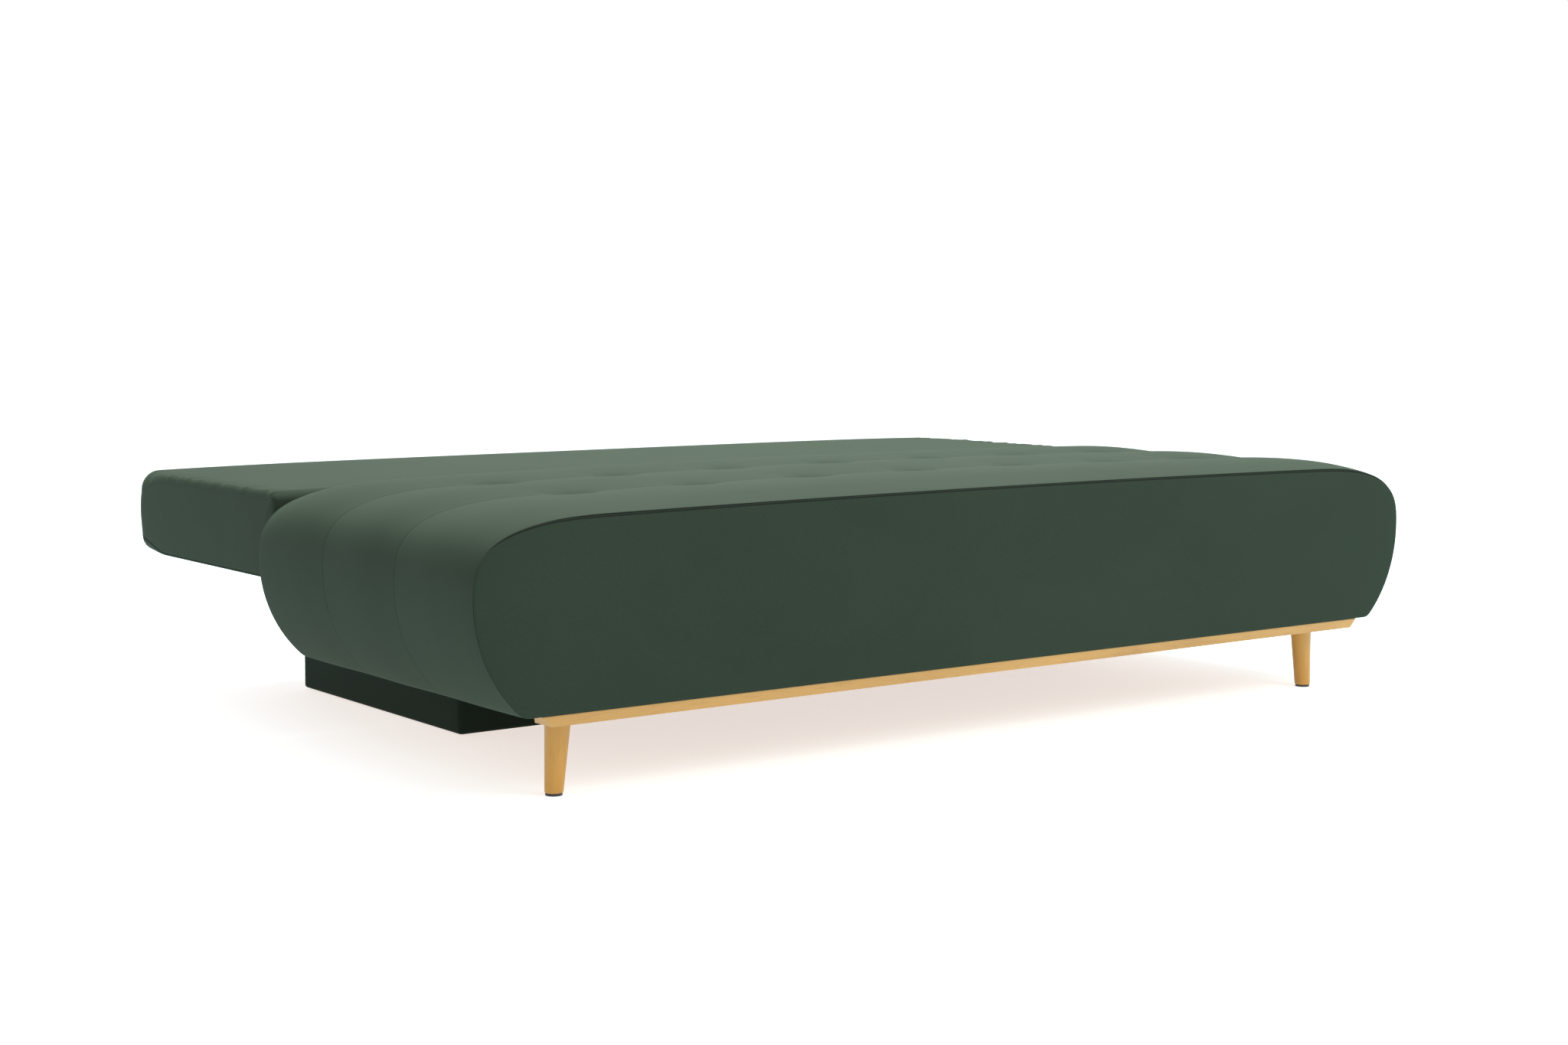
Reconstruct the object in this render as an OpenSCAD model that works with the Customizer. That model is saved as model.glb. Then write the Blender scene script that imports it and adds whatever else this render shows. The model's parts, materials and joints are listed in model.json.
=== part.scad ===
// Sofa bed in its bed position: a boat-shaped seat that rolls over a storage base, and a
// padded back that swings up from flat on two click-clack hinges.
// Origin: on the floor under the centre of the bed. +X is the length, the front faces -Y.

/* [Seat] */
// Length of the seat at its widest
seat_l = 2000; // [1900:10:2200]
// Depth of the seat, front to rear
seat_d = 730; // [700:5:780]
// Height of the crown of the seat
seat_top = 440; // [425:1:450]
// Height of the underside of the seat
seat_bottom = 133; // [125:1:140]
// Height at which the seat is widest
waist_z = 305; // [290:1:315]
// Radius of the curve below the widest height
bilge_r = 225; // [210:1:300]
// Length of the squarish curve from the widest point to the flat top
shoulder_l = 250; // [200:5:300]
// Height of the seam round the front panel above its widest height
panel_rise = 115; // [105:1:118]
// Number of tufts in each seam
tufts = 7; // [4:1:8]
// Distance between tufts
tuft_pitch = 230; // [150:1:232]

/* [Back] */
// Length of the back
back_l = 1934; // [1850:2:1960]
// Depth of the back when it lies flat
back_d = 650; // [600:5:700]
// Thickness of the back
back_t = 151; // [145:1:155]
// Height of the crown of the back when it lies flat
back_top = 417; // [417:1:424]
// Gap between the seat and the back
back_gap = 10; // [8:1:14]

/* [Base] */
// Length of the storage base
base_l = 1432; // [1300:2:1440]
// Depth of the storage base
base_d = 610; // [560:5:640]
// Height of the storage base
base_h = 255; // [230:1:255]
// Distance from the front of the seat to the front of the base
base_setback = 569; // [540:1:600]

/* [Legs and rail] */
// Distance between the two front legs
leg_span = 1640; // [1500:5:1700]
// Distance from the front of the seat to the legs
leg_setback = 76; // [50:1:80]
// Height of the wooden rail above the floor
rail_z = 117; // [105:1:118]
// Radius of a leg at the top
leg_r_top = 20; // [16:1:24]
// Radius of a leg at the floor
leg_r_foot = 14; // [10:1:16]
// Outward lean of a leg, in degrees
leg_splay = 4; // [0:0.5:6]

/* [Mechanism] */
// Travel of the seat over the base
travel = 300; // [200:5:300]
// Radius of a roller
roller_r = 18; // [14:1:20]
// Height of the hinge pins
pivot_z = 360; // [358:1:362]
// Distance from the rear of the seat to the hinge pins
pivot_setback = 80; // [80:1:84]

/* [Hidden] */
$fn = 48;
front_y = -(seat_d + back_gap + back_d) / 2;   // front of the seat
rear_y = front_y + seat_d;                     // rear of the seat
back_y = rear_y + back_gap;                    // front edge of the back
end_y = back_y + back_d;                       // rear edge of the back
fabric = 3;                                    // covers, with their lining
board = 18;                                    // wooden boards
wall_x = 862;                                  // inner face of the seat's end boards
foam_x = wall_x + board;
deck_z = base_h + 7;                           // underside of the deck, clear of the base
deck_h = 45;
sill_d = 70;
slat_t = 8;
core_z = deck_z + deck_h + slat_t;             // underside of the seat's top foam
lining_z = base_h + 4;
frame_front_y = front_y + 23;                  // front face of the front board
frame_rear_y = rear_y - 15;                    // rear face of the rear deck rail
rail_t = seat_bottom - rail_z;
rail_depth = 116;
rail_half = seat_l / 2 - 110;
rail_nose = 22;                                // depth of the rail at its full length
rail_cut = (rail_depth - rail_nose) * tan(33); // what its rear corners lose
leg_x = leg_span / 2;
leg_y = front_y + leg_setback;
glide_h = 4;
base_x = base_l / 2;
base_y = front_y + base_setback;
base_end_y = base_y + base_d;
skin = 2;                                      // fabric on the base
foot_h = 6;
bottom_z = 12;                                 // underside of the base's bottom board
bottom_t = 8;
channel_t = 2.5;                               // steel of the roller rails
channel_w = 34;
channel_h = 2 * roller_r + 1;                  // clear height inside the rails
channel_z = 180;
channel_y0 = base_y + 6;
channel_y1 = channel_y0 + travel + 165;
bumper_t = 12;
roller_w = 20;
roller_x = base_x + channel_t + 5;             // inner face of the rollers
roller_z = channel_z + channel_t + roller_r + 0.2;
roller_ys = [channel_y0 + 35, channel_y0 + 130];
axle_r = 4;
bore_clear = 0.05;                             // running clearance on a radius
bracket_x = base_x + channel_w + 4;            // inner face of the roller brackets
bracket_y0 = base_y + 16;
bracket_y1 = base_y + 156;
plate_t = 4;                                   // steel of the brackets and hinges
plate_z = deck_z - plate_t;                    // underside of the roller brackets
hinge_x = 796;                                 // inner face of the hinge plates
pin_r = 6;
head_r = 11;
end_play = 0.3;
pivot_y = rear_y + pivot_setback;
arm_x = hinge_x + 2 * plate_t;                 // inner face of the hinge arms
back_z = back_top - back_t;                    // underside of the back
back_half = back_l / 2;
hub_r = 22;
slot_clear = 4;                                // room round the hinge hubs in the back
edge_r = 50;                                   // round edges of the back
hinge_edge_r = 35;                             // its top front edge, next to the seat
hem = 60;
stile_x = arm_x + plate_t;                     // inner face of the back's side boards
stile_h = 60;
stile_z = back_z + 6;
stile_y0 = pivot_y + 20;
stile_y1 = end_y - 42;
crossrail_y = pivot_y + hub_r + 45;
crossrail_d = 30;
back_core_z = stile_z + stile_h + slat_t;      // underside of the back's top foam
pad_t = back_z - base_h - 0.5;                 // the felt stops just short of the back
slat_w = 60;
bolt_r = 4;
steel = [0.35, 0.36, 0.37];
timber = [0.78, 0.65, 0.45];
beech = [0.78, 0.60, 0.35];
foam = [0.90, 0.87, 0.74];
green = [0.25, 0.32, 0.27];
dark_green = [0.19, 0.24, 0.20];
black = [0.08, 0.09, 0.09];

// ---- shapes that repeat ----

// A block between two opposite corners
module block(low, high) {
    translate(low) cube(high - low);
}

// A shape drawn in Y and Z, extruded from x0 to x1
module along_x(x0, x1) {
    translate([x0, 0, 0]) rotate([90, 0, 90]) linear_extrude(x1 - x0) children();
}

// A shape drawn in X and Z, extruded from y0 to y1
module along_y(y0, y1) {
    translate([0, y1, 0]) rotate([90, 0, 0]) linear_extrude(y1 - y0) children();
}

// The right-hand child, or its mirror image on the left
module on_side(side) {
    mirror([side < 0 ? 1 : 0, 0, 0]) children();
}

module both_sides() {
    for (side = [-1, 1]) on_side(side) children();
}

// A rod along X
module rod_x(x0, x1, y, z, r) {
    translate([x0, y, z]) rotate([0, 90, 0]) cylinder(r = r, h = x1 - x0);
}

// Right half of the seat's end view: an arc up to the widest height, then a squarish shoulder
function half_outline(inset, rise) =
    let (
        r = bilge_r - inset,
        low = asin((waist_z - seat_bottom - inset) / r),
        bilge_x = seat_l / 2 - bilge_r,
        shoulder_x = seat_l / 2 - shoulder_l,
        across = shoulder_l - inset,
        up = rise - inset
    )
    concat(
        [for (i = [0:8]) [bilge_x + r * cos(low * (1 - i / 8)), waist_z - r * sin(low * (1 - i / 8))]],
        [for (i = [1:18]) let (t = i * 5)
            [shoulder_x + across * pow(cos(t), 2 / 3), waist_z + up * pow(sin(t), 2 / 3)]]
    );

module seat_outline(inset, rise) {
    half = half_outline(inset, rise);
    last = len(half) - 1;
    polygon(concat(half, [for (i = [last:-1:0]) [-half[i][0], half[i][1]]]));
}

seat_rise = seat_top - waist_z;

// Four corner arcs, counter-clockwise from the low front one
function rounded(low, high, radii) =
    let (
        centres = [
            [low[0] + radii[0], low[1] + radii[0]], [high[0] - radii[1], low[1] + radii[1]],
            [high[0] - radii[2], high[1] - radii[2]], [low[0] + radii[3], high[1] - radii[3]]
        ]
    )
    [for (c = [0:3]) for (i = [0:8]) let (a = 180 + 90 * c + 90 * i / 8)
        centres[c] + radii[c] * [cos(a), sin(a)]];

// End view of the back, drawn in Y and Z: the front edge is round so that it can swing
module back_outline(inset) {
    polygon(rounded([back_y + inset, back_z + inset], [end_y - inset, back_top - inset],
        [edge_r - inset, edge_r - inset, edge_r - inset, hinge_edge_r - inset]));
}

// Room in the back for the hinge plates, below and in front of the pins
module hinge_slots() {
    reach = hub_r + slot_clear;
    both_sides() block([hinge_x - 12, rear_y, deck_z], [stile_x, pivot_y + reach, pivot_z + reach]);
}

// ---- storage base ----

module base_front_panel() {
    color(timber)
        block([-base_x + skin, base_y + skin, foot_h], [base_x - skin, base_y + skin + board, base_h]);
}

module base_rear_panel() {
    color(timber)
        block([-base_x + skin, base_end_y - skin - board, foot_h],
            [base_x - skin, base_end_y - skin, base_h]);
}

module base_side(side) {
    color(timber) on_side(side)
        block([base_x - skin - board, base_y + skin + board, foot_h],
            [base_x - skin, base_end_y - skin - board, base_h]);
}

module base_bottom() {
    x = base_x - skin - board;
    color(timber)
        block([-x, base_y + skin + board, bottom_z], [x, base_end_y - skin - board, bottom_z + bottom_t]);
}

module base_corner_blocks() {
    x = base_x - skin - board;
    block_w = 40;
    color(timber) both_sides()
        for (y = [base_y + skin + board, base_end_y - skin - board - block_w])
            block([x - block_w, y, bottom_z + bottom_t], [x, y + block_w, base_h - 5]);
}

module base_feet() {
    from_edge = 60;
    color(black) both_sides()
        for (y = [base_y + from_edge, base_y + base_d / 2, base_end_y - from_edge])
            translate([base_x - from_edge, y, 0]) cylinder(r = 20, h = bottom_z);
}

module base_cover() {
    color(dark_green) difference() {
        block([-base_x, base_y, foot_h], [base_x, base_end_y, base_h]);
        block([-base_x + skin, base_y + skin, 0], [base_x - skin, base_end_y - skin, base_h + 1]);
    }
}

// C-shaped steel rail on the outside of the base, open away from it
module slide_rail(side) {
    high = channel_z + channel_h + 2 * channel_t;
    color(steel) on_side(side) difference() {
        block([base_x, channel_y0, channel_z], [base_x + channel_w, channel_y1, high]);
        block([base_x + channel_t, channel_y0 - 1, channel_z + channel_t],
            [base_x + channel_w + 1, channel_y1 + 1, high - channel_t]);
    }
}

module rail_bumpers() {
    low = channel_z + channel_t;
    color(black) both_sides()
        for (y = [channel_y0, channel_y1 - bumper_t])
            block([base_x + channel_t, y, low], [base_x + channel_w - 4, y + bumper_t, low + channel_h]);
}

module rest_pads() {
    pad_l = 120;
    y = base_end_y - skin;
    color(black)
        for (x = [-450, 0, 450])
            block([x - pad_l / 2, y - board, base_h], [x + pad_l / 2, y, base_h + pad_t]);
}

// ---- seat frame ----

module front_board() {
    color(timber) along_y(frame_front_y, frame_front_y + board) seat_outline(30, panel_rise);
}

// Boards that close the ends of the deck, up to the underside of the top foam
module end_board(side) {
    color(timber) on_side(side)
        block([wall_x, frame_front_y + board, seat_bottom + fabric], [foam_x, frame_rear_y, core_z]);
}

module deck_front_rail() {
    y = frame_front_y + board;
    color(timber) block([-wall_x + 40, y, deck_z], [wall_x - 40, y + 40, deck_z + deck_h]);
}

module deck_rear_rail() {
    color(timber)
        block([-wall_x + 40, frame_rear_y - 40, deck_z], [wall_x - 40, frame_rear_y, deck_z + deck_h]);
}

module deck_side_rail(side) {
    color(timber) on_side(side)
        block([wall_x - 40, frame_front_y + board, deck_z], [wall_x, frame_rear_y, deck_z + deck_h]);
}

// Beam under the front board that carries the rail and the legs
module front_sill() {
    y = frame_front_y + board;
    z = seat_bottom + fabric;
    color(timber) block([-wall_x, y, z], [wall_x, y + sill_d, z + 40]);
}

module seat_slats() {
    slats = 12;
    pitch = (2 * wall_x - 150) / (slats - 1);
    z = deck_z + deck_h;
    color(beech) for (i = [0:slats - 1]) {
        x = (i - (slats - 1) / 2) * pitch;
        block([x - slat_w / 2, frame_front_y + board, z], [x + slat_w / 2, frame_rear_y, z + slat_t]);
    }
}

module leg_plates() {
    half = 22;
    color(steel) both_sides() difference() {
        block([leg_x - half, leg_y - half, seat_bottom], [leg_x + half, leg_y + half, seat_bottom + fabric]);
        translate([leg_x, leg_y, 0]) cylinder(r = bolt_r + 0.5, h = seat_top);
    }
}

// ---- seat upholstery ----

// Places of the tufts, on the two seams that divide the seat into three strips
function tuft_places() = [
    for (row = [1, 2]) for (i = [0:tufts - 1])
        [(i - (tufts - 1) / 2) * tuft_pitch, front_y + row * seat_d / 3]
];

module seat_foam() {
    color(foam) difference() {
        along_y(frame_front_y + board, rear_y - 2 * fabric) seat_outline(2 * fabric, seat_rise);
        block([-seat_l, front_y, 0], [seat_l, end_y, core_z]);
    }
}

module end_foam(side) {
    color(foam) on_side(side) intersection() {
        along_y(frame_front_y + board, rear_y - 2 * fabric) seat_outline(2 * fabric, seat_rise);
        block([foam_x, front_y, seat_bottom], [seat_l, end_y, core_z]);
    }
}

module front_foam() {
    color(foam) along_y(front_y + 2 * fabric, frame_front_y) seat_outline(2 * fabric, panel_rise);
}

// Strips over the top and down both ends, with their hems turned under
module seat_cover() {
    hem_z = seat_bottom + fabric;
    color(green) difference() {
        along_y(front_y + fabric, rear_y - fabric) seat_outline(0, seat_rise);
        along_y(front_y, rear_y) intersection() {
            seat_outline(fabric, seat_rise);
            translate([-seat_l, hem_z]) square([2 * seat_l, seat_l]);
        }
        block([-foam_x, front_y, 0], [foam_x, rear_y, hem_z + 1]);
    }
}

module front_cover() {
    color(green) along_y(front_y, front_y + fabric) seat_outline(fabric, panel_rise);
}

module front_piping() {
    color(dark_green) along_y(front_y, front_y + fabric) difference() {
        seat_outline(0, panel_rise);
        seat_outline(fabric, panel_rise);
    }
}

// Rear face of the seat, open below the deck so that the base can pass
module rear_cover() {
    color(green) along_y(rear_y - fabric, rear_y) difference() {
        seat_outline(0, seat_rise);
        translate([-foam_x, 0]) square([2 * foam_x, lining_z]);
    }
}

module dust_cover() {
    x = bracket_x - fabric;
    y = frame_front_y + board + sill_d;
    color(black) block([-x, y, lining_z], [x, rear_y - fabric, deck_z]);
}

// Cords through the foam that pull the seams down, each with a button at its top
module tuft_ties() {
    button_h = 3;
    tie_h = seat_top - 24 - core_z;
    color(black) for (p = tuft_places()) translate([p[0], p[1], core_z]) {
        cylinder(r = 1.5, h = tie_h - button_h);
        translate([0, 0, tie_h - button_h]) cylinder(r = 9, h = button_h);
    }
}

// ---- rail and legs ----

// Thin board, its ends bevelled below and its rear corners cut off
module wood_rail() {
    y = front_y + 2;
    end = rail_half + 1;
    color(beech) intersection() {
        along_y(y, y + rail_depth)
            polygon([[-rail_half, seat_bottom], [-rail_half + rail_t, rail_z],
                [rail_half - rail_t, rail_z], [rail_half, seat_bottom]]);
        translate([0, y, 0]) linear_extrude(seat_bottom + 1)
            polygon([[-end, -1], [end, -1], [end, rail_nose],
                [end - rail_cut, rail_depth + 1], [rail_cut - end, rail_depth + 1], [-end, rail_nose]]);
    }
}

// A round taper that leans outward, cut level at the rail and above the glide
module leg(side) {
    over = 10;
    taper = (leg_r_top - leg_r_foot) / rail_z * over;
    color(beech) on_side(side) intersection() {
        translate([leg_x, leg_y, rail_z]) rotate([0, 180 - leg_splay, 0]) translate([0, 0, -over])
            cylinder(r1 = leg_r_top + taper, r2 = leg_r_foot - taper, h = rail_z + 2 * over);
        block([0, front_y, glide_h], [seat_l, rear_y, rail_z]);
    }
}

// Bolts screwed into the legs, through the rail and the plates into the sill
module leg_bolts() {
    sunk = 22;
    color(steel) both_sides()
        translate([leg_x, leg_y, rail_z - sunk]) cylinder(r = bolt_r, h = rail_t + fabric + 2 * sunk);
}

module leg_glides() {
    lean = (rail_z - glide_h / 2) * tan(leg_splay);
    color(black) both_sides() translate([leg_x + lean, leg_y, 0]) cylinder(r = leg_r_foot - 1, h = glide_h);
}

// ---- roller gear ----

// Steel angle under the deck rail, with a web that carries the two rollers
module roller_bracket(side) {
    color(steel) on_side(side) difference() {
        union() {
            block([bracket_x, bracket_y0, roller_z - roller_r], [bracket_x + plate_t, bracket_y1, deck_z]);
            block([bracket_x, bracket_y0, plate_z], [wall_x, bracket_y1, deck_z]);
        }
        for (y = roller_ys) rod_x(bracket_x - 1, bracket_x + plate_t + 1, y, roller_z, axle_r);
    }
}

module roller_axles() {
    color(steel) both_sides() for (y = roller_ys) {
        rod_x(roller_x - 1, bracket_x + plate_t, y, roller_z, axle_r);
        rod_x(bracket_x + plate_t, bracket_x + plate_t + 5, y, roller_z, axle_r + 3);
    }
}

module roller(side, y) {
    color(black) on_side(side) difference() {
        rod_x(roller_x, roller_x + roller_w, y, roller_z, roller_r);
        rod_x(roller_x - 1, roller_x + roller_w + 1, y, roller_z, axle_r + bore_clear);
    }
}

// ---- click-clack hinges ----

// Seat side: a cranked plate from under the deck, up into the slot in the back
module hinge_plate(side) {
    low = plate_z - 36;
    outer_x = hinge_x + plate_t;
    color(steel) on_side(side) difference() {
        union() {
            rod_x(hinge_x, outer_x, pivot_y, pivot_z, hub_r);
            block([hinge_x, pivot_y - hub_r, low], [outer_x, pivot_y + hub_r, pivot_z]);
            block([hinge_x, bracket_y0, low], [outer_x, pivot_y, plate_z]);
        }
        rod_x(hinge_x - 1, hinge_x + plate_t + 1, pivot_y, pivot_z, pin_r);
    }
}

module hinge_pins() {
    color(steel) both_sides() {
        rod_x(hinge_x - pin_r, hinge_x, pivot_y, pivot_z, head_r);
        rod_x(hinge_x, stile_x - end_play, pivot_y, pivot_z, pin_r);
        rod_x(hinge_x + plate_t, arm_x - end_play, pivot_y, pivot_z, head_r);
    }
}

// Back side: an arm from the pin to the back's side board
module hinge_arm(side) {
    low = stile_z + 5;
    high = stile_z + 50;
    neck_y = pivot_y + hub_r;
    tail_y = pivot_y + 230;
    color(steel) on_side(side) difference() {
        union() {
            rod_x(arm_x, stile_x, pivot_y, pivot_z, hub_r);
            along_x(arm_x, stile_x) polygon([
                [pivot_y - hub_r, pivot_z], [pivot_y, low], [tail_y, low], [tail_y, high],
                [neck_y + slot_clear, high], [neck_y, pivot_z]
            ]);
        }
        rod_x(arm_x - 1, stile_x + 1, pivot_y, pivot_z, pin_r + bore_clear);
    }
}

// ---- back ----

module back_side(side) {
    color(timber) on_side(side)
        block([stile_x, stile_y0, stile_z], [stile_x + board, stile_y1, stile_z + stile_h]);
}

module back_cross_rails() {
    color(timber)
        for (y = [crossrail_y, stile_y1 - crossrail_d])
            block([-arm_x, y, stile_z], [arm_x, y + crossrail_d, stile_z + stile_h]);
}

module back_slats() {
    slats = 11;
    pitch = (2 * stile_x - 180) / (slats - 1);
    z = stile_z + stile_h;
    color(beech) for (i = [0:slats - 1]) {
        x = (i - (slats - 1) / 2) * pitch;
        block([x - slat_w / 2, crossrail_y, z], [x + slat_w / 2, stile_y1, z + slat_t]);
    }
}

module back_core(x0, x1) {
    along_x(x0, x1) back_outline(2 * fabric);
}

// Foam over the slats
module back_foam() {
    x = back_half - 2 * fabric;
    color(foam) difference() {
        back_core(-x, x);
        block([-back_half, 0, 0], [back_half, end_y, back_core_z]);
        hinge_slots();
    }
}

// Foam rolls round the frame: front, rear and both ends
module back_edge_foam() {
    gap = 2;
    front_x = hinge_x - 14;
    rear_x = stile_x + board;
    color(foam) {
        intersection() {
            back_core(-front_x, front_x);
            block([-back_half, 0, 0], [back_half, crossrail_y - gap, back_core_z]);
        }
        intersection() {
            back_core(-rear_x, rear_x);
            block([-back_half, stile_y1 + gap, 0], [back_half, end_y, back_core_z]);
        }
        both_sides() intersection() {
            back_core(rear_x + gap, back_half - 2 * fabric);
            block([0, 0, 0], [back_half, end_y, back_core_z]);
        }
    }
}

// Wrap over the top, the front edge and the rear edge, with hems turned under
module back_cover() {
    color(green) difference() {
        along_x(-back_half + fabric, back_half - fabric) difference() {
            back_outline(0);
            back_outline(fabric);
        }
        block([-back_half, back_y + hem, 0], [back_half, end_y - hem, back_z + fabric + 1]);
        hinge_slots();
    }
}

module back_end(side) {
    color(green) on_side(side) along_x(back_half - fabric, back_half) back_outline(0);
}

module back_lining() {
    x = back_half - fabric;
    color(black) difference() {
        block([-x, back_y + hem, back_z], [x, end_y - hem, back_z + fabric]);
        hinge_slots();
    }
}

base_front_panel();
base_rear_panel();
base_side(-1);  // base_side_left
base_side(1);  // base_side_right
base_bottom();
base_corner_blocks();
base_feet();
base_cover();
slide_rail(-1);  // slide_rail_left
slide_rail(1);  // slide_rail_right
rail_bumpers();
rest_pads();
front_board();
end_board(-1);  // end_board_left
end_board(1);  // end_board_right
deck_front_rail();
deck_rear_rail();
deck_side_rail(-1);  // deck_side_rail_left
deck_side_rail(1);  // deck_side_rail_right
front_sill();
seat_slats();
seat_foam();
end_foam(-1);  // end_foam_left
end_foam(1);  // end_foam_right
front_foam();
seat_cover();
front_cover();
front_piping();
rear_cover();
dust_cover();
tuft_ties();
wood_rail();
leg(-1);  // leg_left
leg(1);  // leg_right
leg_plates();
leg_bolts();
leg_glides();
roller_bracket(-1);  // roller_bracket_left
roller_bracket(1);  // roller_bracket_right
roller_axles();
roller(-1, roller_ys[0]);  // roller_front_left
roller(-1, roller_ys[1]);  // roller_rear_left
roller(1, roller_ys[0]);  // roller_front_right
roller(1, roller_ys[1]);  // roller_rear_right
hinge_plate(-1);  // hinge_plate_left
hinge_plate(1);  // hinge_plate_right
hinge_pins();
back_side(-1);  // back_side_left
back_side(1);  // back_side_right
back_cross_rails();
back_slats();
back_foam();
back_edge_foam();
back_cover();
back_end(-1);  // back_end_left
back_end(1);  // back_end_right
back_lining();
hinge_arm(-1);  // hinge_arm_left
hinge_arm(1);  // hinge_arm_right
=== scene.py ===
import json
import math

import bmesh
import bpy
import numpy as np
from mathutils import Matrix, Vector


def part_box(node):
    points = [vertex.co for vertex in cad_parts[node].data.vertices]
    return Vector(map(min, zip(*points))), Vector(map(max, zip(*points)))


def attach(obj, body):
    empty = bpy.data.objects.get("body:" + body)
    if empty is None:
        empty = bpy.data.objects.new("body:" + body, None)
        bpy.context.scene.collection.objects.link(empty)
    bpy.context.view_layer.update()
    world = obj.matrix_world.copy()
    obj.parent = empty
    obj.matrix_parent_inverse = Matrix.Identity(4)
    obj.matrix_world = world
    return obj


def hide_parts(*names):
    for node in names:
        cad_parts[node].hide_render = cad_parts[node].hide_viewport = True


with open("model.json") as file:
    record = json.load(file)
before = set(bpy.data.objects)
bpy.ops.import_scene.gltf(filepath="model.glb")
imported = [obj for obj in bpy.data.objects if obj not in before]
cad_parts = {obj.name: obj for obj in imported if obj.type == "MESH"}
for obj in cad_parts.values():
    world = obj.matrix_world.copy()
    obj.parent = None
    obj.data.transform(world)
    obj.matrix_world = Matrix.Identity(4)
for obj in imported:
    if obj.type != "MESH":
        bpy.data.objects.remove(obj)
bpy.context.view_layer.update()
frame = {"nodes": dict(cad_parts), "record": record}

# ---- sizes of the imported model, in metres ----

HALF_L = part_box("seat_cover")[1].x
SEAT_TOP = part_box("seat_cover")[1].z
SEAT_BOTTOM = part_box("seat_cover")[0].z
FRONT_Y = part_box("front_cover")[0].y
REAR_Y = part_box("rear_cover")[1].y
PANEL_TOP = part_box("front_piping")[1].z
WALL_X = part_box("end_board_right")[1].x
WALL_INNER_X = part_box("end_board_right")[0].x
WAIST_Z = 0.305          # height at which the seat is widest
BILGE_R = 0.225          # arc below that height
SHOULDER = 0.250         # length of the squarish curve above it
SEAM_DROP = 0.0125       # the strips' seams lie this far below the crown
SEAM_RISE = SEAT_TOP - SEAM_DROP - WAIST_Z
FRONT_LIP = 0.0055       # the front strip stands this far over the front seam
FILL_PRESSURE = 4.0
FILL_FRAMES = 20
MOVE_CAP = 0.006         # no point of a filled strip moves further
TUFT_R = 0.009
TUFTS = 7
tuft_lo, tuft_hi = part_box("tuft_ties")
TUFT_PITCH = (tuft_hi.x - tuft_lo.x - 2 * TUFT_R) / (TUFTS - 1)
STRIP_D = (REAR_Y - FRONT_Y) / 3
SEAM_YS = [FRONT_Y + STRIP_D, FRONT_Y + 2 * STRIP_D]
TUFT_PLACES = [((i - (TUFTS - 1) / 2) * TUFT_PITCH, seam)
               for seam in SEAM_YS for i in range(TUFTS)]


# ---- mesh helpers ----

def along(points):
    """Distance along a line of points."""
    steps = np.linalg.norm(np.diff(points, axis=0), axis=1)
    return np.concatenate([[0.0], np.cumsum(steps)])


def resample(points, count):
    """The same line with evenly spaced points."""
    s = along(points)
    at = np.linspace(0, s[-1], count)
    return np.stack([np.interp(at, s, points[:, k]) for k in range(points.shape[1])], 1)


def mirrored(half, points):
    """A line from the left end to the right end, evenly spaced and the same on both sides."""
    line = resample(np.concatenate([half * [-1, 1], half[::-1][1:]]), points)
    return (line + line[::-1] * [-1, 1]) / 2


def closed_loop(lower, upper):
    """One loop from two halves that share their first and last points."""
    return np.concatenate([lower, upper[1:-1][::-1]])


def smoothed(points, passes):
    """The same line with its corners eased and its ends kept."""
    p = points.copy()
    for _ in range(passes):
        p[1:-1] = 0.25 * p[:-2] + 0.5 * p[1:-1] + 0.25 * p[2:]
    return p


def normals_2d(points, closed=False):
    """Unit normals to the left of the way the line runs."""
    if closed:
        t = np.roll(points, -1, axis=0) - np.roll(points, 1, axis=0)
    else:
        t = np.gradient(points, axis=0)
    t /= np.linalg.norm(t, axis=1)[:, None]
    return np.stack([-t[:, 1], t[:, 0]], 1)


def smoothstep(a, b, x):
    """Eases from 0 at a to 1 at b."""
    t = np.clip((x - a) / (b - a), 0, 1)
    return t * t * (3 - 2 * t)


def object_from(name, verts, faces):
    """A new object with a clean, smooth-shaded mesh."""
    mesh = bpy.data.meshes.new(name)
    mesh.from_pydata([tuple(v) for v in verts], [], faces)
    bm = bmesh.new()
    bm.from_mesh(mesh)
    bmesh.ops.remove_doubles(bm, verts=bm.verts, dist=1e-6)
    bmesh.ops.recalc_face_normals(bm, faces=bm.faces)
    for f in bm.faces:
        f.smooth = True
    bm.to_mesh(mesh)
    bm.free()
    obj = bpy.data.objects.new(name, mesh)
    bpy.context.scene.collection.objects.link(obj)
    return obj


def ring_faces(rings, loop, path_closed=False, caps=True):
    """Quads between rings of loop points each, with flat ends."""
    faces = []
    for i in range(rings if path_closed else rings - 1):
        a, b = i * loop, ((i + 1) % rings) * loop
        for j in range(loop):
            k = (j + 1) % loop
            faces.append((a + j, b + j, b + k, a + k))
    if caps and not path_closed:
        faces.append(tuple(range(loop)))
        faces.append(tuple(reversed(range((rings - 1) * loop, rings * loop))))
    return faces


def tube(name, rings, path_closed=False, caps=True):
    """A closed skin over an array of rings, (rings, loop points, 3)."""
    n, k, _ = rings.shape
    return object_from(name, rings.reshape(-1, 3), ring_faces(n, k, path_closed, caps))


def bevelled(obj, width):
    """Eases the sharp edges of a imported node."""
    mod = obj.modifiers.new("edges", "BEVEL")
    mod.width = width
    mod.segments = 2
    mod.limit_method = "ANGLE"
    mod.angle_limit = math.radians(35)
    mod.use_clamp_overlap = True


def subdivided(obj):
    mod = obj.modifiers.new("smooth", "SUBSURF")
    mod.levels = 1
    mod.render_levels = 1
    return obj


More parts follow.
